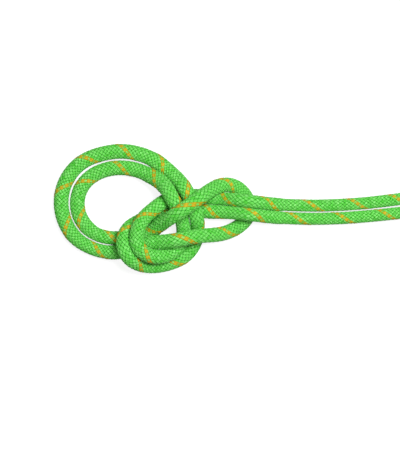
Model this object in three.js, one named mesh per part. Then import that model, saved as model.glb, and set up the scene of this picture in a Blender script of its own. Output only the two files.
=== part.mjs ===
// A short length of dynamic climbing rope tied in a bowline on a bight and laid on a table.
//
// Millimetres, Z up. The double eye points to -X and the two standing parts run to +X.
// The rope is one continuous kernmantle line. It is cut into nine stretches where it can
// bend, and each stretch is a hollow braided sheath round five parallel core strands.
import * as THREE from "three";

// ---------------------------------------------------------------- sizes
const TAIL_RADIUS = 4.75; // the rope pulled straight
const KNOT_RADIUS = 5.25; // the rope bent round itself
const LOOP_RADIUS = 5.75; // the slack rope of the eye, which swells
const LOOP_FOOT_RADIUS = 5.3; // the eye where it runs under the nipping turns

const SHEATH_WALL = 1.1;
const SHEATH_SIDES = 8;
const STRAND_COUNT = 5;
const STRAND_SIDES = 5;
const STRAND_GAP = 0.3; // between neighbouring strands
const STRAND_CLEARANCE = 0.22; // from the strands to the sheath's flats

const SLEEVE_LENGTH = 24; // shrunk-on end sleeve
const SLEEVE_CLEARANCE = 0.3;
const SLEEVE_WALL = 0.5;
const TIP_LENGTH = 4; // fused end of the rope
const TIP_STEP = 0.3; // between the rope's cut face and its fused tip
const TIP_PROUD = 2; // how far the tip stands out of its sleeve

// ---------------------------------------------------------------- the rope's way through the knot
// A waypoint is [x, y, level]. Its level is the height of the rope's middle over the table,
// in knot diameters: 0.5 lies on the table, 1.5 over one strand and 2.5 over two.
const arc = (centre, radius, fromDegrees, toDegrees, steps, level) =>
  Array.from({ length: steps + 1 }, (_, k) => {
    const angle = THREE.MathUtils.degToRad(
      THREE.MathUtils.lerp(fromDegrees, toDegrees, k / steps),
    );
    return [
      centre[0] + radius * Math.cos(angle),
      centre[1] + radius * Math.sin(angle),
      level,
    ];
  });

const ROUTE = [
  {
    // standing part A, from its end in to the knot: over the collar, then under both legs
    radius: TAIL_RADIUS,
    waypoints: [
      [221, 25.8, 0.5],
      [179, 18.9, 0.5],
      [151, 15.8, 0.5],
      [121, 14.3, 0.5],
      [90, 15.1, 0.9],
      [67, 17.5, 1.5],
      [52, 19.1, 1.2],
    ],
  },
  {
    // inner nipping turn: over B and both feet of the eye, round the bottom, up under the
    // collar's lower strand and over both standing parts
    radius: KNOT_RADIUS,
    waypoints: [
      [39, 20.2, 0.7],
      [25, 20.7, 0.5],
      [12, 19.8, 0.6],
      [3.4, 15.6, 1],
      [-3, 12.4, 1.4],
      [-13.9, 1.5, 1.6],
      [-16.9, -7.5, 1.6],
      [-15.8, -16.1, 1.6],
      [-12, -21, 1.4],
      [-3, -24.1, 1.2],
      [7.5, -22.1, 1],
      [14, -18, 0.7],
      [18, -11.2, 0.5],
      [18.4, -2.2, 0.8],
      [15.8, 8.2, 1.5],
      [12.4, 14.2, 1.5],
      [8.2, 21, 1.5],
    ],
  },
  {
    // inner loop of the eye
    radius: LOOP_RADIUS,
    waypoints: [
      [4.1, 29.5, 0.9],
      [-5.8, 36.4, 0.6],
      [-15.3, 40.6, 0.55],
      [-24.1, 42.5, 0.55],
      [-32, 42.8, 0.55],
      ...arc([-36.3, 15.6], 25.75, 107, 225, 4, 0.55),
    ],
  },
  {
    radius: LOOP_FOOT_RADIUS,
    waypoints: [...arc([-36.3, 15.6], 25.75, 240, 262, 1, 0.5), [-31.6, -11.2, 0.5]],
  },
  {
    // collar: under the nipping turns, up over both legs and A, down round the back of
    // both standing parts, and back over the two uprights
    radius: KNOT_RADIUS,
    waypoints: [
      [-22.5, -10.5, 0.5],
      [-15, -9.2, 0.5],
      [-9, -7.6, 0.6],
      [-5, -3.8, 1],
      [4, 2, 1.8],
      [11.6, 7.1, 2.4],
      [19.9, 12.2, 2.5],
      [26.1, 16.7, 2.5],
      [32.3, 21.4, 2.1],
      [37.1, 24.5, 1.6],
      [43.5, 28.3, 1.1],
      [49.5, 30, 0.8],
      [54, 30, 0.6],
      [58.5, 28.3, 0.5],
      [63.8, 22.5, 0.5],
      [67.1, 17.2, 0.5],
      [68.3, 11.6, 0.5],
      [67.1, 6.7, 0.5],
      [63.8, 1.9, 0.5],
      [57.8, -2.6, 0.6],
      [52.1, -5.5, 0.8],
      [46.5, -7.2, 1],
      [39.8, -8, 1.3],
      [33, -8.1, 1.5],
      [26.3, -8.8, 1.5],
      [16.5, -11.1, 1.5],
      [9, -12.9, 1.2],
      [3.8, -13.2, 0.9],
      [-2.2, -13.5, 0.7],
      [-7.5, -14.1, 0.5],
      [-15, -15.8, 0.5],
      [-26.2, -19.1, 0.5],
    ],
  },
  {
    // outer loop of the eye, back round the other way
    radius: LOOP_FOOT_RADIUS,
    waypoints: arc([-37, 16.6], 37.25, 267, 240, 1, 0.5),
  },
  {
    radius: LOOP_RADIUS,
    waypoints: [
      ...arc([-37, 16.6], 37.25, 220, 97, 5, 0.55),
      [-28.6, 55.4, 0.55],
      [-17.5, 53.7, 0.55],
      [-5.5, 49.6, 0.55],
      [4.7, 41.5, 0.6],
      [14.8, 32.6, 0.9],
    ],
  },
  {
    // outer nipping turn: over both standing parts, down under the collar, round the
    // bottom outside the inner turn, over both feet and under A
    radius: KNOT_RADIUS,
    waypoints: [
      [21.7, 22.5, 1.5],
      [25.1, 15.7, 1.5],
      [27.7, 7.5, 1.4],
      [28.3, 0, 0.9],
      [28.4, -6.7, 0.5],
      [27, -13.5, 0.5],
      [22.5, -19.9, 0.5],
      [15, -25.9, 0.5],
      [6, -29.6, 0.5],
      [-3, -31.3, 0.5],
      [-10.5, -31.1, 0.6],
      [-18, -28.1, 1],
      [-24, -22.5, 1.5],
      [-27, -15.7, 1.5],
      [-26.2, -9, 1.5],
      [-21.7, -2.2, 1],
      [-12.1, 3.1, 0.6],
      [-3.4, 8.5, 0.5],
      [7.5, 11.2, 0.5],
      [18.7, 11.2, 0.5],
      [30, 10.9, 0.5],
      [39, 10.1, 0.7],
    ],
  },
  {
    // standing part B, out over the collar to its end
    radius: TAIL_RADIUS,
    waypoints: [
      [52, 9.4, 1.2],
      [67, 7.6, 1.5],
      [90, 5.2, 0.9],
      [121, 4.3, 0.5],
      [151, 5.7, 0.5],
      [179, 8.5, 0.5],
      [221, 13.2, 0.5],
    ],
  },
];

// The rope bends in these places, each given by its middle seen from above. A cut leaves
// room for the two faces beside it to turn without touching.
const TAIL_CUT = 4.2;
const LOOP_CUT = 6.8;
const CUTS = [
  { name: "tail_a_lift", near: [140, 15.1], width: TAIL_CUT },
  { name: "tail_a_swing", near: [92, 15.1], width: TAIL_CUT },
  { name: "inner_loop_top", near: [-10.3, 37.2], width: LOOP_CUT },
  { name: "inner_loop_foot", near: [-32.4, -10.1], width: LOOP_CUT },
  { name: "outer_loop_foot", near: [-37.5, -20.9], width: LOOP_CUT },
  { name: "outer_loop_top", near: [-4.3, 49.6], width: LOOP_CUT },
  { name: "tail_b_swing", near: [92, 5.2], width: TAIL_CUT },
  { name: "tail_b_lift", near: [140, 5], width: TAIL_CUT },
];

// The stretches between those cuts, in order along the rope.
const STRETCHES = [
  "tail_a_end",
  "tail_a",
  "turn_a",
  "inner_loop",
  "collar",
  "outer_loop",
  "turn_b",
  "tail_b",
  "tail_b_end",
];

// ---------------------------------------------------------------- laying the rope
const SAMPLE = 2.5; // distance between the points of the settling line
const NEIGHBOUR = 30; // points closer than this along the rope never press on each other
const CONTACT_GAP = 0.45; // kept between two touching strands
const SETTLE_ROUNDS = 260;
const FINAL_ROUNDS = 40;
const SINK = 0.045; // how far gravity lowers each point in a round
const STIFFENING = 24; // straightening passes in a round: more of them, a stiffer rope
const STRAIGHTEN_SHARE = 0.5; // of the way to a stiff curve in each of those passes
const LAST_STRAIGHTEN_SHARE = 0.15; // and in each final round
const LAST_PRESSES = 4; // with no straightening after them, so that no overlap is left
const SIDE_PUSH = 0.3; // how much contact moves the rope sideways compared with up and down
const HOMING = 0.15; // pull back to the drawn route, seen from above

const knotDiameter = 2 * KNOT_RADIUS;

// Points every SAMPLE millimetres along the drawn route, each with the rope's radius there.
function drawnLine() {
  const corners = [];
  const cornerRadii = [];
  for (const { radius, waypoints } of ROUTE)
    for (const [x, y, level] of waypoints) {
      corners.push(new THREE.Vector3(x, y, level * knotDiameter));
      cornerRadii.push(radius);
    }
  const curve = new THREE.CatmullRomCurve3(corners, false, "centripetal");
  curve.arcLengthDivisions = 40 * corners.length;
  const count = Math.round(curve.getLength() / SAMPLE);
  const points = [];
  const radii = [];
  for (let k = 0; k <= count; k++) {
    const t = curve.getUtoTmapping(k / count);
    const place = t * (corners.length - 1);
    const before = Math.min(Math.floor(place), corners.length - 2);
    points.push(curve.getPoint(t));
    radii.push(
      THREE.MathUtils.lerp(
        cornerRadii[before],
        cornerRadii[before + 1],
        place - before,
      ),
    );
  }
  return { points, radii };
}

// Lets the line sink on to the table and on to itself, until strands that cross or run side
// by side touch and none runs through another.
function settle({ points, radii }) {
  const home = points.map((p) => p.clone());
  const reach = Math.ceil(NEIGHBOUR / SAMPLE);
  const sleeved = Math.ceil((SLEEVE_LENGTH + TIP_PROUD) / SAMPLE);
  const floor = radii.map((radius, i) => {
    const fromEnd = Math.min(i, radii.length - 1 - i);
    return fromEnd <= sleeved ? radius + SLEEVE_CLEARANCE + SLEEVE_WALL : radius;
  });
  const apart = new THREE.Vector3();
  const pressApart = () => {
    for (let i = 0; i < points.length; i++)
      for (let j = i + reach; j < points.length; j++) {
        const wanted = radii[i] + radii[j] + CONTACT_GAP;
        apart.subVectors(points[j], points[i]);
        const distance = apart.length();
        if (distance >= wanted) continue;
        apart.x *= SIDE_PUSH;
        apart.y *= SIDE_PUSH;
        apart.setLength((wanted - distance) / 2);
        points[i].sub(apart);
        points[j].add(apart);
      }
  };
  // Each point moves towards the middle of the stiff curve through its four neighbours.
  const unbend = (share) => {
    const before = points.map((p) => p.clone());
    for (let i = 2; i < points.length - 2; i++)
      for (const axis of ["x", "y", "z"]) {
        const near = before[i - 1][axis] + before[i + 1][axis];
        const far = before[i - 2][axis] + before[i + 2][axis];
        points[i][axis] += share * ((4 * near - far) / 6 - before[i][axis]);
      }
  };
  const keepAboveTable = () =>
    points.forEach((p, i) => (p.z = Math.max(p.z, floor[i])));
  for (let round = 0; round < SETTLE_ROUNDS; round++) {
    points.forEach((p, i) => {
      p.x += HOMING * (home[i].x - p.x);
      p.y += HOMING * (home[i].y - p.y);
      p.z -= SINK;
    });
    pressApart();
    for (let pass = 0; pass < STIFFENING; pass++) unbend(STRAIGHTEN_SHARE);
    keepAboveTable();
  }
  for (let round = 0; round < FINAL_ROUNDS; round++) {
    pressApart();
    unbend(LAST_STRAIGHTEN_SHARE);
    keepAboveTable();
  }
  for (let round = 0; round < LAST_PRESSES; round++) pressApart();
  keepAboveTable();
  return { points, radii };
}

const SEARCH_STEP = 0.25;

// The settled rope as a curve that can be asked for its place, radius and cross axes at any
// distance from end A. The cross axes don't twist along the rope.
function ropeFrom({ points, radii }) {
  const distances = [0];
  for (let i = 1; i < points.length; i++)
    distances.push(distances[i - 1] + points[i].distanceTo(points[i - 1]));
  const tangents = points.map((_, i) =>
    points[Math.min(i + 1, points.length - 1)]
      .clone()
      .sub(points[Math.max(i - 1, 0)])
      .normalize(),
  );
  const ups = [];
  tangents.forEach((tangent, i) => {
    const up = i ? ups[i - 1].clone() : new THREE.Vector3(0, 0, 1);
    ups.push(up.addScaledVector(tangent, -up.dot(tangent)).normalize());
  });
  const at = (distance) => {
    let i = 1;
    while (i < distances.length - 1 && distances[i] < distance) i++;
    const share =
      (distance - distances[i - 1]) / (distances[i] - distances[i - 1]);
    const tangent = tangents[i - 1].clone().lerp(tangents[i], share).normalize();
    const up = ups[i - 1].clone().lerp(ups[i], share);
    up.addScaledVector(tangent, -up.dot(tangent)).normalize();
    return {
      place: points[i - 1].clone().lerp(points[i], share),
      radius: THREE.MathUtils.lerp(radii[i - 1], radii[i], share),
      tangent,
      up,
      side: new THREE.Vector3().crossVectors(up, tangent),
    };
  };
  const length = distances[distances.length - 1];
  const nearest = ([x, y]) => {
    let best = { far: Infinity };
    for (let distance = 0; distance < length; distance += SEARCH_STEP) {
      const { place } = at(distance);
      const far = Math.hypot(place.x - x, place.y - y);
      if (far < best.far) best = { far, distance };
    }
    return best.distance;
  };
  return { at, nearest, length };
}

// ---------------------------------------------------------------- solids
const RING_BULGE = 0.16; // a new ring before the rope strays so far from the chord between two
const RING_REACH = 21; // or runs so far
const RING_STEP = 0.75;

// Distances of the rings of one stretch: close together in bends, far apart where straight.
function ringDistances(rope, from, to) {
  const chosen = [from];
  for (let d = from + RING_STEP; d < to - RING_STEP; d += RING_STEP) {
    const last = chosen[chosen.length - 1];
    const chordMiddle = rope.at(last).place.lerp(rope.at(d).place, 0.5);
    const bulge = rope.at((last + d) / 2).place.distanceTo(chordMiddle);
    if (bulge > RING_BULGE || d - last > RING_REACH) chosen.push(d);
  }
  if (to - chosen[chosen.length - 1] < 2 * RING_STEP && chosen.length > 1)
    chosen.pop();
  chosen.push(to);
  return chosen;
}

// A ring of corners round a point of the rope's cross-section.
function ring(section, radius, sides, [acrossUp, acrossSide] = [0, 0]) {
  return Array.from({ length: sides }, (_, k) => {
    const angle = (2 * Math.PI * (k + 0.5)) / sides;
    return section.place
      .clone()
      .addScaledVector(section.up, acrossUp + radius * Math.cos(angle))
      .addScaledVector(section.side, acrossSide + radius * Math.sin(angle));
  });
}

// A closed surface through a row of outer rings and, for a tube, a row of inner rings.
function lofted(outer, inner) {
  const vertices = [];
  const faces = [];
  const sides = outer[0].length;
  const addRows = (rows, inwards) => {
    const first = vertices.length;
    for (const row of rows) vertices.push(...row);
    for (let i = 0; i < rows.length - 1; i++)
      for (let k = 0; k < sides; k++) {
        const a = first + i * sides + k;
        const b = first + i * sides + ((k + 1) % sides);
        const c = b + sides;
        const d = a + sides;
        faces.push(...(inwards ? [a, c, d, a, b, c] : [a, d, c, a, c, b]));
      }
    return first;
  };
  const firstOuter = addRows(outer, false);
  const lastOuter = firstOuter + (outer.length - 1) * sides;
  if (inner) {
    const firstInner = addRows(inner, true);
    const lastInner = firstInner + (inner.length - 1) * sides;
    for (let k = 0; k < sides; k++) {
      const next = (k + 1) % sides;
      faces.push(firstOuter + k, firstOuter + next, firstInner + next);
      faces.push(firstOuter + k, firstInner + next, firstInner + k);
      faces.push(lastOuter + k, lastInner + next, lastOuter + next);
      faces.push(lastOuter + k, lastInner + k, lastInner + next);
    }
  } else {
    for (let k = 1; k < sides - 1; k++) {
      faces.push(firstOuter, firstOuter + k, firstOuter + k + 1);
      faces.push(lastOuter, lastOuter + k + 1, lastOuter + k);
    }
  }
  const geometry = new THREE.BufferGeometry().setFromPoints(vertices);
  geometry.setIndex(faces);
  const flat = geometry.toNonIndexed();
  flat.computeVertexNormals();
  return flat;
}

const finish = {
  sheath: { color: 0x62c753, roughness: 0.82, metalness: 0 },
  strand: { color: 0xf2f0e6, roughness: 0.75, metalness: 0 },
  sleeve: { color: 0x16181a, roughness: 0.45, metalness: 0 },
  tip: { color: 0x2f6b2a, roughness: 0.5, metalness: 0 },
};

function meshOf(name, geometry, kind) {
  const mesh = new THREE.Mesh(
    geometry,
    new THREE.MeshStandardMaterial(finish[kind]),
  );
  mesh.name = name;
  return mesh;
}

// The radius and the distance from the rope's middle of core strands that fill the bore of
// a sheath of this radius.
function strandFit(ropeRadius) {
  const bore = (ropeRadius - SHEATH_WALL) * Math.cos(Math.PI / SHEATH_SIDES);
  const room = bore - STRAND_CLEARANCE;
  const half = Math.sin(Math.PI / STRAND_COUNT);
  const radius = (room * half - STRAND_GAP / 2) / (1 + half);
  return { radius, reach: room - radius };
}

function stretchMeshes(rope, name, from, to) {
  const sections = ringDistances(rope, from, to).map(rope.at);
  const meshes = [
    meshOf(
      `${name}_sheath`,
      lofted(
        sections.map((s) => ring(s, s.radius, SHEATH_SIDES)),
        sections.map((s) => ring(s, s.radius - SHEATH_WALL, SHEATH_SIDES)),
      ),
      "sheath",
    ),
  ];
  for (let k = 0; k < STRAND_COUNT; k++) {
    const angle = (2 * Math.PI * k) / STRAND_COUNT;
    const rows = sections.map((s) => {
      const { radius, reach } = strandFit(s.radius);
      const middle = [reach * Math.cos(angle), reach * Math.sin(angle)];
      return ring(s, radius, STRAND_SIDES, middle);
    });
    meshes.push(meshOf(`${name}_core_${k + 1}`, lofted(rows), "strand"));
  }
  return meshes;
}

// The fused tip beyond one end of the rope, and the sleeve shrunk on behind it.
function endMeshes(rope, name, ropeEnd, outwards) {
  const end = rope.at(ropeEnd);
  const beyond = (distance) => ({
    ...end,
    place: end.place
      .clone()
      .addScaledVector(end.tangent, outwards * distance),
  });
  const inOrder = (sections) => (outwards > 0 ? sections : sections.reverse());
  const tip = inOrder([beyond(TIP_STEP), beyond(TIP_STEP + TIP_LENGTH)]);
  const sleeveFrom = TIP_STEP + TIP_LENGTH - TIP_PROUD;
  const sleeve = inOrder([
    beyond(sleeveFrom - SLEEVE_LENGTH),
    beyond(sleeveFrom),
  ]);
  const bore = end.radius + SLEEVE_CLEARANCE;
  return [
    meshOf(
      `${name}_tip`,
      lofted(tip.map((s) => ring(s, s.radius, SHEATH_SIDES))),
      "tip",
    ),
    meshOf(
      `${name}_sleeve`,
      lofted(
        sleeve.map((s) => ring(s, bore + SLEEVE_WALL, SHEATH_SIDES)),
        sleeve.map((s) => ring(s, bore, SHEATH_SIDES)),
      ),
      "sleeve",
    ),
  ];
}

// ---------------------------------------------------------------- the part
const rope = ropeFrom(settle(drawnLine()));
const part = new THREE.Group();
part.name = "climbing_rope_bowline_on_a_bight";

const cuts = CUTS.map(({ name, near, width }) => ({
  name,
  width,
  middle: rope.nearest(near),
}));
STRETCHES.forEach((name, k) => {
  const from = k ? cuts[k - 1].middle + cuts[k - 1].width / 2 : 0;
  const to = k < cuts.length ? cuts[k].middle - cuts[k].width / 2 : rope.length;
  part.add(...stretchMeshes(rope, name, from, to));
});
part.add(...endMeshes(rope, "end_a", 0, -1));
part.add(...endMeshes(rope, "end_b", rope.length, 1));

// The part's origin is the middle of the underside of its bounding box.
const box = new THREE.Box3().setFromObject(part);
const middle = box.getCenter(new THREE.Vector3());
part.position.set(-middle.x, -middle.y, -box.min.z);

// Where each cut's middle is in the part's frame, and which way the rope runs there.
part.userData.cuts = cuts.map(({ name, middle: distance }) => {
  const { place, tangent } = rope.at(distance);
  return {
    name,
    at: place.clone().add(part.position).toArray(),
    along: tangent.toArray(),
  };
});

export default part;
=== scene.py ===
"""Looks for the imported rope: a plaited sheath of twin yarns, the cords inside it, and its two ends."""

import math

import bpy
import numpy as np
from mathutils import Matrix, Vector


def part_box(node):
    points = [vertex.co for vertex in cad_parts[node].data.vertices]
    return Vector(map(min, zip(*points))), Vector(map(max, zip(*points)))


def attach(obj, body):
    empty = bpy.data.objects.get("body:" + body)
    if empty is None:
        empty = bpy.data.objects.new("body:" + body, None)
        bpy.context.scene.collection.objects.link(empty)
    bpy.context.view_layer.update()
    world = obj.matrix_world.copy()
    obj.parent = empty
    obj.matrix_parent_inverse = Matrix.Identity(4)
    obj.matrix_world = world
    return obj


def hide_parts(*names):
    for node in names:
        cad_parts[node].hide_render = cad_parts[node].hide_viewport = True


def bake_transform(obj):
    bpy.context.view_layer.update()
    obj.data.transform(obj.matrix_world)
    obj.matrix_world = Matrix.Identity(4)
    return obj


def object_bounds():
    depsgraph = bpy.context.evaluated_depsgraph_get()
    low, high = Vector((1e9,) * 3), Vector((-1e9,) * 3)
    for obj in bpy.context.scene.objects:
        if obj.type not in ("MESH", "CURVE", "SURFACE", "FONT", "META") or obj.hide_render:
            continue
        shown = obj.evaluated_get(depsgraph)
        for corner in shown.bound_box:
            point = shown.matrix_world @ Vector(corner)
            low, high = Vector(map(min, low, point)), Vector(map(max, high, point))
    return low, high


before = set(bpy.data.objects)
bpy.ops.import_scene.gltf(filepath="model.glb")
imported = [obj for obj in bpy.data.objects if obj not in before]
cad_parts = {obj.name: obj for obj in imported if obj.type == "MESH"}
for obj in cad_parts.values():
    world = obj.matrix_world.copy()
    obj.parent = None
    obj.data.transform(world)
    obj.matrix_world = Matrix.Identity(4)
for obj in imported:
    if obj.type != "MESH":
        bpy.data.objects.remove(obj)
cad_low, cad_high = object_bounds()

MM = 0.001

# ---------------------------------------------------------------- the rope's own measurements
STRETCHES = (
    "tail_a_end",
    "tail_a",
    "turn_a",
    "inner_loop",
    "collar",
    "outer_loop",
    "turn_b",
    "tail_b",
    "tail_b_end",
)
BODY_OF = {
    "turn_a": "knot",
    "collar": "knot",
    "turn_b": "knot",
}  # the other stretches are bodies of their own name
CAP_EDGE = 1.25 * MM  # only the wall at a sheath's two ends has edges as short as this

# Plait: bundles wind both ways round the rope and cross over and under by turns.
BUNDLES_EACH_WAY = 10
BUNDLE_THICKNESS = 0.80 * MM
BUNDLE_WIDTH = 0.96  # on top, in distances between neighbouring bundles
DIVE_WIDTH = 0.92  # the same where a bundle runs under another
CRIMP = 0.40 * MM
SAMPLES_PER_CROSSING = 4
TRACER = (1, 0)  # the hand and number of the one orange bundle
TRACER_FULLER = 1.42  # the tracer's yarns are that much wider
TRACER_PROUD = 0.34 * MM  # it is laid in slacker, so more of it shows
TRACER_CRIMP = 0.16 * MM  # it dips less than the others, so bundles that cross over it sink into it
TRACER_START = 0.63  # the tracer's angle at end A, in turns
# Millimetres of rope in which a bundle winds round once, at places spread evenly along each stretch. The
# plait is drawn out where the rope is pulled straight, and on the upper arm of the collar, where the rope
# has lost some twist that is wound up again behind the standing parts.
PITCH_MM = {
    "tail_a_end": (30,),
    "tail_a": (34.5,),
    "turn_a": (33.5,),
    "inner_loop": (29,),
    "collar": (34, 46.5, 21, 38, 34),
    "outer_loop": (29,),
    "turn_b": (33,),
    "tail_b": (35.5,),
    "tail_b_end": (30,),
}
KNOT_FULLNESS = 0.36 * MM  # how far the plait stands out over the CAD sheath where the knot's strands touch
CURVE_STEPS = 24  # points of the centre line from one CAD ring to the next

# A bundle's cross-section: two yarns side by side. Across in bundle widths, up in bundle thicknesses.
BUNDLE_SECTION = (
    (-0.50, -0.06),
    (-0.42, 0.30),
    (-0.25, 0.50),
    (-0.08, 0.30),
    (0.00, 0.10),
    (0.08, 0.30),
    (0.25, 0.50),
    (0.42, 0.30),
    (0.50, -0.06),
    (0.00, -0.34),
)
LINER_SIDES = 20
LINER_STEP = 1.6 * MM
LINER_SINK = 0.8  # the liner's depth under the diving bundles' tops on slack rope, in bundle thicknesses

# Fibres in the yarns' surface.
FIBRE_LEAN = 2.0  # millimetres that a fibre climbs along a bundle on its way across it
FIBRE_ALONG = 0.9
FIBRES_ACROSS = 18.0
FIBRE_DEPTH = 0.10 * MM
# Painted shade: how dark a bundle's colour is made between its yarns, along its sides and where it dives,
# from 0 to 1.
SEAM_SHADE = 0.3
SIDE_SHADE = 0.25
DIVE_SHADE = 0.3
CORNER_SHADE = 0.5  # painted shade added where a side dives
DIVE_HIGHLIGHT_SHARE = 0.3  # how much of the painted highlight on a crown a diving yarn still gets
PATCH_ALONG = 0.25  # slow changes of shade from float to float, per millimetre
# A bundle's height runs from -1 under another bundle to 1 over one; the first height of each pair is where
# a change begins and the second where it is complete.
# Heights over which a yarn's crown gets its painted highlight.
CROWN_HIGHLIGHT_HEIGHTS = (-0.4, 1.0)
# Heights over which the painted shade of a dive fades out.
DIVE_HEIGHTS = (-0.2, 0.9)
PALE_NOISE = (0.7, 1.35)  # sums of the fibres' and patches' noise that turn a yarn from plain to its pale colour, partly a random paler tone and partly painted highlight
SIDE_PLACES = (0.22, 0.48)  # distances from a bundle's middle, in its widths
SEAM_PLACES = (0.0, 0.12)
FIBRE_DETAIL = (3.0, 0.65)  # octaves of noise and the share that each keeps of the one before
PATCH_DETAIL = (2.0, 0.5)
YARN_ROUGHNESS = (0.52, 0.74)  # at the bottom and top of the fibres' noise
YARN_BUMP = 0.6
YARN_SHEEN = 0.02
YARN_SHEEN_ROUGHNESS = 0.5
YARN_SPECULAR = 0.14

CORDS = 5
CORD_PLIES = 3
CORD_SIDES = 12
CORD_STEP = 1.2 * MM
CORD_LAY = 9 * MM  # a cord's plies wind round once in this length
CORD_CREASE = 0.16  # how deep the creases between plies are, in cord radii
CORE_CLEARANCE = 0.12 * MM  # from the cords to the sheath
CORD_GAP = 0.1 * MM  # between neighbouring cords

# The rope's ends, in distances beyond the cut face of the sheath.
END_SIDES = 64
SLEEVE_LENGTH = 24 * MM
SLEEVE_END = 2.3 * MM
SLEEVE_GAP = 0.05 * MM
SLEEVE_WALL = 0.6 * MM
SLEEVE_RINGS = 40
TIP_START = 0.3 * MM
TIP_END = 4.1 * MM
TIP_ROUND = 1.3 * MM
TIP_DISH = 0.2 * MM
TIP_CENTRE = 0.02  # radius of the tip's last ring, in shares of its flat face
TIP_RINGS = 10
LIP_RINGS = 6
# Unevenness: strength, waves round the rope, radians a metre along it, and phase.
RIPPLES = ((1.0, 3, 900, 0), (0.7, 5, -1700, 1), (0.5, 11, 2600, 2))
SLEEVE_RIPPLE = 0.004  # how strong the unevenness is, in shares of the radius
TIP_RIPPLE = 0.02
CLOUD_DETAIL = (4.0, 0.6)
GRAIN_DETAIL = (3.0, 0.6)
GRAIN_FINER = 6  # than the clouds
CLOUD_NOISE = (0.6, 1.4)  # sums of both noises that turn film or melted nylon from dark to light
GLOSS_NOISE = (0.2, 0.8)
GLOSSIER = 0.1  # than a plastic's middling roughness
DULLER = 0.15
PLASTIC_BUMP = 0.7

# Pieces across a cut reach this far along the rope on both sides of it.
BEND_PIECE = 20 * MM

# The picture, the floor and the studio.
PICTURE_WIDTH = 300 * MM
PICTURE_SHAPE = 457 / 400  # height to width
LEFT_MARGIN = 39.7 * MM  # from the picture's left edge to the eye
TOP_MARGIN = 107.5 * MM  # from its top edge to the rope
CAMERA_HEIGHT = 1.6
SENSOR = 36.0
FLOOR_SIZE = 6
FLOOR_SHADE = 0.30
FLOOR_ROUGHNESS = 0.9
FLOOR_GLOW = 0.84  # the floor is overexposed to the eye, so that only the rope shows
STUDIO_LIGHT = 0.13  # what the walls of the studio give the rope
WALL_GLOW = 0.9  # how bright the walls look behind the floor
# Name, place, size and power in watts.
LIGHTS = (
    ("key", (0.45, 0.42, 1.5), 0.7, 31),
    ("fill", (-0.5, -0.6, 1.5), 1.0, 6),
)


# ---------------------------------------------------------------- reading the centre line from the frame
def merged(node):
    """A CAD node's points with duplicates merged, and its edges as pairs of indices."""
    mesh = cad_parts[node].data
    mesh.calc_loop_triangles()
    co = np.zeros(len(mesh.vertices) * 3)
    mesh.vertices.foreach_get("co", co)
    co = co.reshape(-1, 3)
    keys, first, index = np.unique(
        np.round(co / (0.01 * MM)).astype(int), axis=0, return_index=True, return_inverse=True
    )
    triangles = np.zeros(len(mesh.loop_triangles) * 3, int)
    mesh.loop_triangles.foreach_get("vertices", triangles)
    triangles = index.reshape(-1)[triangles].reshape(-1, 3)
    edges = np.concatenate([triangles[:, [0, 1]], triangles[:, [1, 2]], triangles[:, [2, 0]]])
    return co[first], np.unique(np.sort(edges, axis=1), axis=0)


def ring_row(node):
    """Centres and radii of a sheath's rings, from one end to the other."""
    points, edges = merged(node)
    lengths = np.linalg.norm(points[edges[:, 0]] - points[edges[:, 1]], axis=1)
    rim = set(edges[lengths < CAP_EDGE].ravel().tolist())
    near = {k: set() for k in range(len(points))}
    for a, b in edges.tolist():
        near[a].add(b)
        near[b].add(a)
    cap = {min(rim)}
    while True:
        grown = cap | {n for k in cap for n in near[k] if n in rim}
        if grown == cap:
            break
        cap = grown
    rows, seen, level = [], set(), cap
    while level:
        rows.append(sorted(level))
        seen |= level
        level = {n for k in level for n in near[k]} - seen
    centres = np.array([points[row].mean(0) for row in rows])
    radii = np.array(
        [np.linalg.norm(points[row] - c, axis=1).max() for row, c in zip(rows, centres)]
    )
    return centres, radii


def box_middle(node):
    low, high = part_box(node)
    return np.array((low + high) / 2)


def smooth_through(points, radii):
    """A centripetal Catmull-Rom curve through the points, with the radii along it."""
    ends = np.vstack([2 * points[0] - points[1], points, 2 * points[-1] - points[-2]])
    knots = np.concatenate([[0], np.cumsum(np.linalg.norm(np.diff(ends, axis=0), axis=1) ** 0.5)])
    curve, along = [], []
    for k in range(1, len(ends) - 2):
        p0, p1, p2, p3 = ends[k - 1 : k + 3]
        t0, t1, t2, t3 = knots[k - 1 : k + 3]
        last = k == len(ends) - 3
        t = np.linspace(t1, t2, CURVE_STEPS + 1)[: None if last else -1, None]
        a1 = (t1 - t) / (t1 - t0) * p0 + (t - t0) / (t1 - t0) * p1
        a2 = (t2 - t) / (t2 - t1) * p1 + (t - t1) / (t2 - t1) * p2
        a3 = (t3 - t) / (t3 - t2) * p2 + (t - t2) / (t3 - t2) * p3
        b1 = (t2 - t) / (t2 - t0) * a1 + (t - t0) / (t2 - t0) * a2
        b2 = (t3 - t) / (t3 - t1) * a2 + (t - t1) / (t3 - t1) * a3
        curve.append((t2 - t) / (t2 - t1) * b1 + (t - t1) / (t2 - t1) * b2)
        share = (t[:, 0] - t1) / (t2 - t1)
        along.append(radii[k - 1] * (1 - share) + radii[k] * share)
    return np.vstack(curve), np.concatenate(along)


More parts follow.
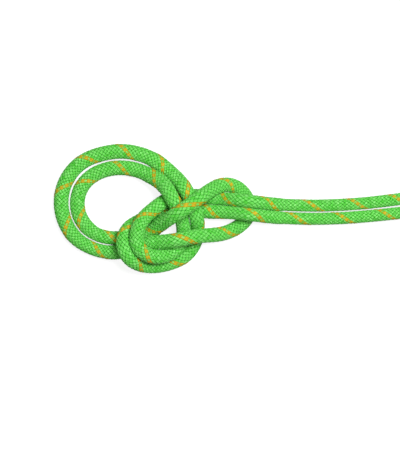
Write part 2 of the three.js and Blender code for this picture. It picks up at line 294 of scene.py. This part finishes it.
class Rope:
    """The rope's centre line, its radius, cross axes that don't twist, and how far the plait has wound."""

    def __init__(self):
        self.read_centre_line()
        self.lay_cross_axes()
        self.wind_plait()

    def read_centre_line(self):
        centres, radii = [], []
        last = box_middle("end_a_tip")
        for name in STRETCHES:
            row, sizes = ring_row(name + "_sheath")
            if np.linalg.norm(row[-1] - last) < np.linalg.norm(row[0] - last):
                row, sizes = row[::-1], sizes[::-1]
            centres.append(row)
            radii.append(sizes)
            last = row[-1]
        firsts = np.cumsum([0] + [len(row) for row in centres])
        self.points, self.radii = smooth_through(np.vstack(centres), np.concatenate(radii))
        steps = np.linalg.norm(np.diff(self.points, axis=0), axis=1)
        self.at = np.concatenate([[0], np.cumsum(steps)])
        self.length = self.at[-1]
        self.starts = [self.at[k * CURVE_STEPS] for k in firsts[:-1]]
        self.ends = [self.at[(k - 1) * CURVE_STEPS] for k in firsts[1:]]

    def lay_cross_axes(self):
        tangents = np.gradient(self.points, self.at, axis=0)
        self.tangents = tangents / np.linalg.norm(tangents, axis=1)[:, None]
        ups = np.zeros_like(self.points)
        up = np.array([0.0, 0.0, 1.0])
        for k, tangent in enumerate(self.tangents):
            up = up - tangent * (up @ tangent)
            up /= np.linalg.norm(up)
            ups[k] = up
        self.ups = ups

    def wind_plait(self):
        fullness = [KNOT_FULLNESS if name in BODY_OF else 0 for name in STRETCHES]
        edges = [place for pair in zip(self.starts, self.ends) for place in pair]
        self.fullness = np.interp(self.at, edges, np.repeat(fullness, 2))
        pitch_places, pitches = [], []
        for name, start, end in zip(STRETCHES, self.starts, self.ends):
            values = np.array(PITCH_MM[name]) * MM
            shares = (np.arange(len(values)) + 0.5) / len(values)
            pitch_places.extend(start + shares * (end - start))
            pitches.extend(values)
        pitch = np.interp(self.at, pitch_places, pitches)
        turn = 2 * math.pi / pitch
        steps_wound = (turn[1:] + turn[:-1]) / 2 * np.diff(self.at)
        self.wound = np.concatenate([[0], np.cumsum(steps_wound)]) + TRACER_START * 2 * math.pi

    def cuts(self):
        """Distances along the rope of the middles of the gaps between stretches."""
        return [(a + b) / 2 for a, b in zip(self.ends[:-1], self.starts[1:])]

    def along(self, values, s):
        """values at distances s; beyond the ends they stay as they are there."""
        if values.ndim == 1:
            return np.interp(s, self.at, values)
        return np.stack([np.interp(s, self.at, values[:, k]) for k in range(3)], axis=-1)

    def surface(self, s, angle, out):
        """Points at distances s and angles round the rope, at a distance out from its centre line.

        Beyond the ends the centre line goes on straight.
        """
        centre = self.along(self.points, s)
        tangent = self.along(self.tangents, s)
        beyond = np.clip(s - self.length, 0, None) + np.clip(s, None, 0)
        centre = centre + tangent * beyond[..., None]
        up = self.along(self.ups, s)
        up = up - tangent * (up * tangent).sum(-1, keepdims=True)
        up = up / np.linalg.norm(up, axis=-1, keepdims=True)
        side = np.cross(tangent, up)
        outward = up * np.cos(angle)[..., None] + side * np.sin(angle)[..., None]
        return centre + outward * out[..., None]


# ---------------------------------------------------------------- meshes
class Shells:
    """Collects tubes made of rows of points, each row one ring, and writes them as one mesh."""

    def __init__(self):
        self.points, self.faces, self.caps, self.slots, self.numbers = [], [], [], [], []
        self.count = 0

    def add(self, rows, slot, numbers):
        """rows has shape (rings, sides, 3), and numbers (rings, sides, n) goes into the mesh's attributes."""
        rings, sides = rows.shape[:2]
        index = self.count + np.arange(rings * sides).reshape(rings, sides)
        around = np.roll(index, -1, axis=1)
        quads = np.stack([index[:-1], around[:-1], around[1:], index[1:]], axis=-1).reshape(-1, 4)
        self.points.append(rows.reshape(-1, 3))
        self.numbers.append(numbers.reshape(rings * sides, -1))
        self.faces.append(quads)
        self.slots.append(np.full(len(quads), slot))
        self.caps += [(index[0, ::-1].tolist(), slot), (index[-1].tolist(), slot)]
        self.count += rings * sides

    def mesh(self, name, attributes, materials):
        points = np.concatenate(self.points)
        quads = np.concatenate(self.faces)
        corner_lists = [c for c, _ in self.caps]
        corners = np.concatenate([quads.ravel()] + [np.array(c) for c in corner_lists])
        totals = np.concatenate([np.full(len(quads), 4), [len(c) for c in corner_lists]])
        starts = np.concatenate([[0], np.cumsum(totals)[:-1]])
        slots = np.concatenate([*self.slots, [s for _, s in self.caps]])
        mesh = bpy.data.meshes.new(name)
        mesh.vertices.add(len(points))
        mesh.vertices.foreach_set("co", points.astype(np.float32).ravel())
        mesh.loops.add(len(corners))
        mesh.loops.foreach_set("vertex_index", corners.astype(np.int32))
        mesh.polygons.add(len(totals))
        mesh.polygons.foreach_set("loop_start", starts.astype(np.int32))
        mesh.polygons.foreach_set("material_index", slots.astype(np.int32))
        mesh.polygons.foreach_set("use_smooth", np.arange(len(totals)) < len(quads))
        mesh.update(calc_edges=True)
        numbers = np.concatenate(self.numbers).astype(np.float32)
        for k, attribute in enumerate(attributes):
            made = mesh.attributes.new(attribute, "FLOAT", "POINT")
            made.data.foreach_set("value", numbers[:, k].copy())
        for material in materials:
            mesh.materials.append(material)
        piece = bpy.data.objects.new(name, mesh)
        bpy.context.scene.collection.objects.link(piece)
        return piece


def plait_piece(rope, name, start, end, materials):
    """The sheath between two distances along the rope: every bundle of both hands, over a liner whose dark
    colour is painted shade for the gaps between bundles.
    """
    step = math.pi / BUNDLES_EACH_WAY / SAMPLES_PER_CROSSING
    first = round(rope.along(rope.wound, np.array([start]))[0] / step)
    last = round(rope.along(rope.wound, np.array([end]))[0] / step)
    wound = np.arange(first, last + 1) * step
    s = np.interp(wound, rope.wound, rope.at)
    radius = rope.along(rope.radii + rope.fullness, s)
    turn = np.gradient(wound, s)  # radians of winding per metre of rope
    lean = np.arctan(turn * radius)  # between a bundle and the rope's axis
    spacing = 2 * math.pi * radius / BUNDLES_EACH_WAY * np.cos(lean)
    strip = (s / np.cos(lean)) / MM
    across = np.array([x for x, _ in BUNDLE_SECTION])
    height = np.array([y for _, y in BUNDLE_SECTION]) * BUNDLE_THICKNESS
    shells = Shells()
    for hand in (1, -1):
        over = hand * np.cos(BUNDLES_EACH_WAY * wound)
        middle = radius - BUNDLE_THICKNESS / 2 - CRIMP
        share = DIVE_WIDTH + (BUNDLE_WIDTH - DIVE_WIDTH) * (over + 1) / 2
        for number in range(BUNDLES_EACH_WAY):
            traced = (hand, number) == TRACER
            width = share * spacing * (TRACER_FULLER if traced else 1)
            lift = TRACER_PROUD + TRACER_CRIMP * over if traced else CRIMP * over
            angle = hand * wound + 2 * math.pi * number / BUNDLES_EACH_WAY
            offset = across[None, :] * width[:, None]
            s_here = s[:, None] - hand * offset * np.sin(lean)[:, None]
            angle_here = angle[:, None] + offset * (np.cos(lean) / radius)[:, None]
            rows = rope.surface(s_here, angle_here, (middle + lift)[:, None] + height[None, :])
            own = np.full((1, 1), number + hand * BUNDLES_EACH_WAY)
            numbers = np.stack(
                np.broadcast_arrays(strip[:, None], across[None, :], own, over[:, None]), axis=-1
            )
            shells.add(rows, 1 if traced else 0, numbers)
    count = max(2, round((end - start) / LINER_STEP))
    s = np.linspace(s[0], s[-1], count + 1)
    out = rope.along(rope.radii, s) - 2 * CRIMP - BUNDLE_THICKNESS * LINER_SINK
    corner = 2 * math.pi * np.arange(LINER_SIDES) / LINER_SIDES
    shape = (count + 1, LINER_SIDES)
    rows = rope.surface(
        np.broadcast_to(s[:, None], shape),
        np.broadcast_to(corner[None, :], shape),
        np.broadcast_to(out[:, None], shape),
    )
    shells.add(rows, 2, np.zeros(shape + (4,)))
    return shells.mesh(name, ("yarn_along", "yarn_across", "yarn_number", "yarn_over"), materials)


def cord_piece(rope, name, start, end, materials):
    """The core between two distances along the rope: parallel cords of twisted plies."""
    count = max(2, round((end - start) / CORD_STEP))
    s = np.linspace(start, end, count + 1)
    radius = rope.along(rope.radii, s)
    bore = radius - 2 * BUNDLE_THICKNESS - CORE_CLEARANCE
    half = math.sin(math.pi / CORDS)
    cord = (bore * half - CORD_GAP) / (1 + half)
    reach = bore - cord
    shells = Shells()
    corner = 2 * math.pi * np.arange(CORD_SIDES) / CORD_SIDES
    for number in range(CORDS):
        turned = 2 * math.pi * s / CORD_LAY + number
        angle = corner[None, :] + turned[:, None]
        lobes = np.abs(np.cos(CORD_PLIES * corner / 2))[None, :]
        size = cord[:, None] * (1 - CORD_CREASE * (1 - lobes) ** 2)
        base = 2 * math.pi * number / CORDS
        up = reach[:, None] * math.cos(base) + size * np.cos(angle)
        side = reach[:, None] * math.sin(base) + size * np.sin(angle)
        out = np.hypot(up, side)
        rows = rope.surface(np.broadcast_to(s[:, None], out.shape), np.arctan2(side, up), out)
        numbers = np.stack(
            np.broadcast_arrays(s[:, None] / MM, corner[None, :] / math.pi - 1), axis=-1
        )
        shells.add(rows, 0, numbers)
    return shells.mesh(name, ("yarn_along", "yarn_across"), materials)


# ---------------------------------------------------------------- materials
def new_material(name):
    material = bpy.data.materials.new(name)
    material.use_nodes = True
    nodes = material.node_tree.nodes
    return material, nodes, material.node_tree.links, nodes["Principled BSDF"]


def math_node(nodes, links, operation, a, b=None):
    node = nodes.new("ShaderNodeMath")
    node.operation = operation
    for socket, value in zip(node.inputs, (a, b)):
        if value is None:
            continue
        if isinstance(value, (int, float)):
            socket.default_value = value
        else:
            links.new(value, socket)
    return node.outputs[0]


def mixed_colour(nodes, links, factor, a, b):
    node = nodes.new("ShaderNodeMix")
    node.data_type = "RGBA"
    links.new(factor, node.inputs["Factor"])
    for key, colour in ((6, a), (7, b)):
        if isinstance(colour, tuple):
            node.inputs[key].default_value = (*colour, 1)
        else:
            links.new(colour, node.inputs[key])
    return node.outputs[2]


def attribute(nodes, name):
    node = nodes.new("ShaderNodeAttribute")
    node.attribute_name = name
    return node.outputs["Fac"]


def noise(nodes, links, vector, scale, detail, roughness):
    node = nodes.new("ShaderNodeTexNoise")
    node.inputs["Scale"].default_value = scale
    node.inputs["Detail"].default_value = detail
    node.inputs["Roughness"].default_value = roughness
    links.new(vector, node.inputs["Vector"])
    return node.outputs["Fac"]


def vector_of(nodes, links, *parts):
    node = nodes.new("ShaderNodeCombineXYZ")
    for socket, part in zip(node.inputs, parts):
        if isinstance(part, (int, float)):
            socket.default_value = part
        else:
            links.new(part, socket)
    return node.outputs[0]


def stepped(nodes, links, value, low, high, to_low=0.0, to_high=1.0):
    """A smooth step of value from low to high."""
    node = nodes.new("ShaderNodeMapRange")
    node.interpolation_type = "SMOOTHSTEP"
    node.inputs["From Min"].default_value = low
    node.inputs["From Max"].default_value = high
    node.inputs["To Min"].default_value = to_low
    node.inputs["To Max"].default_value = to_high
    links.new(value, node.inputs["Value"])
    return node.outputs[0]


def yarn_material(name, painted_shade_colour, plain, highlight_and_pale):
    """Twisted nylon yarn: fibres lean across it; painted shade darkens it where it dives, along its sides and
    in its creases, and a painted highlight pales its crowns.
    """
    material, nodes, links, shader = new_material(name)
    along = attribute(nodes, "yarn_along")
    across = attribute(nodes, "yarn_across")
    number = attribute(nodes, "yarn_number")
    over = attribute(nodes, "yarn_over")
    twist = math_node(nodes, links, "MULTIPLY", across, FIBRE_LEAN)
    fibre_along = math_node(nodes, links, "ADD", along, twist)
    fibre_place = vector_of(
        nodes,
        links,
        math_node(nodes, links, "MULTIPLY", fibre_along, FIBRE_ALONG),
        math_node(nodes, links, "MULTIPLY", across, FIBRES_ACROSS),
        number,
    )
    fibres = noise(nodes, links, fibre_place, 1.0, *FIBRE_DETAIL)
    patch_along = math_node(nodes, links, "MULTIPLY", along, PATCH_ALONG)
    patch_place = vector_of(nodes, links, patch_along, number, 0)
    patches = noise(nodes, links, patch_place, 1.0, *PATCH_DETAIL)
    bands = math_node(nodes, links, "ADD", fibres, patches)
    # Painted highlight: the pale colour, partly random pale fibres, is weighted up where a yarn rides on top.
    crown_highlight = stepped(nodes, links, over, *CROWN_HIGHLIGHT_HEIGHTS, DIVE_HIGHLIGHT_SHARE, 1.0)
    highlight_and_pale_mask = math_node(nodes, links, "MULTIPLY", stepped(nodes, links, bands, *PALE_NOISE), crown_highlight)
    colour = mixed_colour(nodes, links, highlight_and_pale_mask, plain, highlight_and_pale)
    # Painted shade: the colour turns to the painted shade colour along the sides, at the seam between the two
    # yarns and where the yarn dives.
    edge = math_node(nodes, links, "ABSOLUTE", across)
    dive = stepped(nodes, links, over, *DIVE_HEIGHTS, 1.0, 0.0)
    outer = stepped(nodes, links, edge, *SIDE_PLACES)
    seam = stepped(nodes, links, edge, *SEAM_PLACES, SEAM_SHADE, 0.0)
    corner = math_node(nodes, links, "MULTIPLY", dive, outer)
    corner = math_node(nodes, links, "MULTIPLY", corner, CORNER_SHADE)
    sides = math_node(nodes, links, "MULTIPLY", outer, SIDE_SHADE)
    ends = math_node(nodes, links, "MULTIPLY", dive, DIVE_SHADE)
    painted_shade = math_node(nodes, links, "MAXIMUM", sides, ends)
    painted_shade = math_node(nodes, links, "MAXIMUM", painted_shade, seam)
    painted_shade = math_node(nodes, links, "ADD", painted_shade, corner)
    painted_shade.node.use_clamp = True
    links.new(mixed_colour(nodes, links, painted_shade, colour, painted_shade_colour), shader.inputs["Base Color"])
    rough = stepped(nodes, links, fibres, 0.0, 1.0, *YARN_ROUGHNESS)
    links.new(rough, shader.inputs["Roughness"])
    bump = nodes.new("ShaderNodeBump")
    bump.inputs["Strength"].default_value = YARN_BUMP
    bump.inputs["Distance"].default_value = FIBRE_DEPTH
    links.new(fibres, bump.inputs["Height"])
    links.new(bump.outputs[0], shader.inputs["Normal"])
    shader.inputs["Sheen Weight"].default_value = YARN_SHEEN
    shader.inputs["Sheen Roughness"].default_value = YARN_SHEEN_ROUGHNESS
    shader.inputs["Specular IOR Level"].default_value = YARN_SPECULAR
    return material


def plastic_material(name, dark, light, scale, roughness, depth):
    """Shrunk film, melted nylon or the liner of painted shade under the plait: uneven in colour and gloss."""
    material, nodes, links, shader = new_material(name)
    place = nodes.new("ShaderNodeTexCoord").outputs["Object"]
    cloud = noise(nodes, links, place, scale, *CLOUD_DETAIL)
    grain = noise(nodes, links, place, scale * GRAIN_FINER, *GRAIN_DETAIL)
    both = math_node(nodes, links, "ADD", cloud, grain)
    blend = stepped(nodes, links, both, *CLOUD_NOISE)
    links.new(mixed_colour(nodes, links, blend, dark, light), shader.inputs["Base Color"])
    rough = stepped(nodes, links, cloud, *GLOSS_NOISE, roughness - GLOSSIER, roughness + DULLER)
    links.new(rough, shader.inputs["Roughness"])
    bump = nodes.new("ShaderNodeBump")
    bump.inputs["Strength"].default_value = PLASTIC_BUMP
    bump.inputs["Distance"].default_value = depth
    links.new(both, bump.inputs["Height"])
    links.new(bump.outputs[0], shader.inputs["Normal"])
    return material


# Each yarn has its plain colour, a painted shade colour for its creases and dives, and a paler colour that is
# partly random pale fibres and partly painted highlight on its crowns.
GREEN = yarn_material(
    "sheath_green",
    painted_shade_colour=(0.001, 0.16, 0.001),
    plain=(0.040, 0.515, 0.008),
    highlight_and_pale=(0.33, 0.88, 0.25),
)
ORANGE = yarn_material(
    "tracer_orange",
    painted_shade_colour=(0.20, 0.25, 0.004),
    plain=(0.47, 0.31, 0.005),
    highlight_and_pale=(0.64, 0.49, 0.03),
)
CORE = yarn_material(
    "core_white",
    painted_shade_colour=(0.40, 0.38, 0.33),
    plain=(0.80, 0.78, 0.72),
    highlight_and_pale=(0.90, 0.88, 0.84),
)
# Painted shade: a dark green sheet under the bundles, coloured as the shaded gaps between them look.
SHADE_LINER = plastic_material(
    "sheath_inside_painted_shade",
    dark=(0.006, 0.13, 0.008),
    light=(0.015, 0.20, 0.015),
    scale=900.0,
    roughness=0.8,
    depth=0.1 * MM,
)
SLEEVE = plastic_material(
    "end_sleeve",
    dark=(0.008, 0.009, 0.010),
    light=(0.020, 0.021, 0.023),
    scale=300.0,
    roughness=0.42,
    depth=0.12 * MM,
)
TIP = plastic_material(
    "fused_tip",
    dark=(0.010, 0.045, 0.008),
    light=(0.045, 0.16, 0.030),
    scale=420.0,
    roughness=0.35,
    depth=0.35 * MM,
)


# ---------------------------------------------------------------- building the pieces
rope = Rope()
cuts = rope.cuts()


def body_name(stretch):
    return BODY_OF.get(stretch, stretch)


def build_stretches():
    """The stretches of rope between the bends, each riding on its body."""
    bends = [place for cut in cuts for place in (cut - BEND_PIECE, cut + BEND_PIECE)]
    edges = [0.0, *bends, rope.length]
    for k, stretch in enumerate(STRETCHES):
        start, end = edges[2 * k], edges[2 * k + 1]
        sheath = plait_piece(rope, stretch + "_plait", start, end, (GREEN, ORANGE, SHADE_LINER))
        core = cord_piece(rope, stretch + "_cords", start, end, (CORE,))
        for piece, slot in ((sheath, "sheath"), (core, "core")):
            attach(piece, body_name(stretch))
        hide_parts(stretch + "_sheath")
        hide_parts(*[f"{stretch}_core_{n + 1}" for n in range(CORDS)])


def build_bends():
    """The rope across each cut, built in place and attached to no body."""
    for cut, before, after in zip(cuts, STRETCHES[:-1], STRETCHES[1:]):
        name = f"{before}_to_{after}"
        start, end = cut - BEND_PIECE, cut + BEND_PIECE
        sheath = plait_piece(rope, name + "_plait", start, end, (GREEN, ORANGE, SHADE_LINER))
        core = cord_piece(rope, name + "_cords", start, end, (CORE,))
        for piece, slot in ((sheath, "sheath"), (core, "core")):
            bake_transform(piece)


def turned_piece(name, distances, outs, end, outwards, material, ripple):
    """A piece turned round the rope's axis: rings at distances beyond the rope's end, out from its middle."""
    ring_count = len(distances)
    corner = 2 * math.pi * np.arange(END_SIDES) / END_SIDES
    shape = (ring_count, END_SIDES)
    s = end + outwards * np.broadcast_to(np.array(distances)[:, None], shape)
    angle = np.broadcast_to(corner[None, :], shape)
    waves = [
        strength * np.sin(around * angle + along * s + phase)
        for strength, around, along, phase in RIPPLES
    ]
    rough = ripple * sum(waves)
    out = np.array(outs)[:, None]
    rows = rope.surface(s, angle, out * (1 + rough * (out > 0)))
    shells = Shells()
    shells.add(rows if outwards > 0 else rows[::-1], 0, np.zeros(shape + (1,)))
    return shells.mesh(name, (), (material,))


def lip(first, last, at):
    """Half a circle of ring places from the first radius to the last one: a sleeve's rounded edge."""
    turns = np.linspace(0, math.pi, LIP_RINGS)
    middle, half = (first + last) / 2, (first - last) / 2
    return [(at + half * math.sin(turn), middle + half * math.cos(turn)) for turn in turns]


def build_sleeve(label, end, outwards, body, radius):
    reach = SLEEVE_END - SLEEVE_LENGTH
    inner, outer = radius + SLEEVE_GAP, radius + SLEEVE_GAP + SLEEVE_WALL
    places = [reach + (SLEEVE_END - reach) * k / SLEEVE_RINGS for k in range(1, SLEEVE_RINGS)]
    rows = [(place, outer) for place in places]
    rows += lip(outer, inner, SLEEVE_END - SLEEVE_WALL / 2)
    rows += lip(inner, outer, reach + SLEEVE_WALL / 2)
    rows.append(rows[0])
    at, out = zip(*rows)
    piece = turned_piece(label + "_shrunk_sleeve", at, out, end, outwards, SLEEVE, SLEEVE_RIPPLE)
    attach(piece, body)
    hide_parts(label + "_sleeve")


def build_tip(label, end, outwards, body, radius):
    shoulder = TIP_END - TIP_ROUND
    flat = radius - TIP_ROUND
    side = [(TIP_START + (shoulder - TIP_START) * k / TIP_RINGS, radius) for k in range(TIP_RINGS)]
    crown = [
        (shoulder + TIP_ROUND * math.sin(turn), flat + TIP_ROUND * math.cos(turn))
        for turn in np.linspace(0, math.pi / 2, TIP_RINGS)
    ]
    face = [
        (TIP_END + TIP_DISH * math.cos(math.pi / 2 * share), flat * share)
        for share in np.linspace(1, TIP_CENTRE, TIP_RINGS)
    ]
    at, out = zip(*(side + crown + face[1:]))
    piece = turned_piece(label + "_melted_tip", at, out, end, outwards, TIP, TIP_RIPPLE)
    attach(piece, body)
    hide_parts(label + "_tip")


def build_ends():
    for label, end, outwards, body in (
        ("end_a", 0.0, -1, STRETCHES[0]),
        ("end_b", rope.length, 1, STRETCHES[-1]),
    ):
        radius = rope.along(rope.radii, np.array([end]))[0]
        build_sleeve(label, end, outwards, body, radius)
        build_tip(label, end, outwards, body, radius)


build_stretches()
build_bends()
build_ends()


# ---------------------------------------------------------------- stage
def lay_floor():
    bpy.ops.mesh.primitive_plane_add(size=FLOOR_SIZE, location=(0, 0, 0))
    floor = bpy.context.object
    floor.name = "floor"
    material, nodes, links, shader = new_material("floor_white")
    shader.inputs["Base Color"].default_value = (*[FLOOR_SHADE] * 3, 1)
    shader.inputs["Roughness"].default_value = FLOOR_ROUGHNESS
    shader.inputs["Emission Color"].default_value = (1, 1, 1, 1)
    seen = nodes.new("ShaderNodeLightPath").outputs["Is Camera Ray"]
    links.new(math_node(nodes, links, "MULTIPLY", seen, FLOOR_GLOW), shader.inputs["Emission Strength"])
    floor.data.materials.append(material)


def light_studio():
    world = bpy.data.worlds.new("studio")
    bpy.context.scene.world = world
    world.use_nodes = True
    nodes, links = world.node_tree.nodes, world.node_tree.links
    walls = nodes["Background"]
    walls.inputs["Color"].default_value = (1, 1, 1, 1)
    seen = nodes.new("ShaderNodeLightPath").outputs["Is Camera Ray"]
    extra = math_node(nodes, links, "MULTIPLY", seen, WALL_GLOW - STUDIO_LIGHT)
    links.new(math_node(nodes, links, "ADD", extra, STUDIO_LIGHT), walls.inputs["Strength"])
    for name, place, size, power in LIGHTS:
        light = bpy.data.lights.new(name, "AREA")
        light.size = size
        light.energy = power
        lamp = bpy.data.objects.new(name, light)
        lamp.location = place
        bpy.context.scene.collection.objects.link(lamp)
        towards_rope = -lamp.location
        lamp.rotation_euler = towards_rope.to_track_quat("-Z", "Y").to_euler()


def place_camera():
    data = bpy.data.cameras.new("camera")
    data.sensor_fit = "AUTO"
    data.sensor_width = SENSOR
    height = PICTURE_WIDTH * PICTURE_SHAPE
    middle_z = (cad_low.z + cad_high.z) / 2
    data.lens = SENSOR * (CAMERA_HEIGHT - middle_z) / height
    cam = bpy.data.objects.new("camera", data)
    cam.location = (
        cad_low.x - LEFT_MARGIN + PICTURE_WIDTH / 2,
        cad_high.y + TOP_MARGIN - height / 2,
        CAMERA_HEIGHT,
    )
    bpy.context.scene.collection.objects.link(cam)
    bpy.context.scene.camera = cam


lay_floor()
light_studio()
place_camera()
bpy.context.scene.view_settings.view_transform = "Standard"
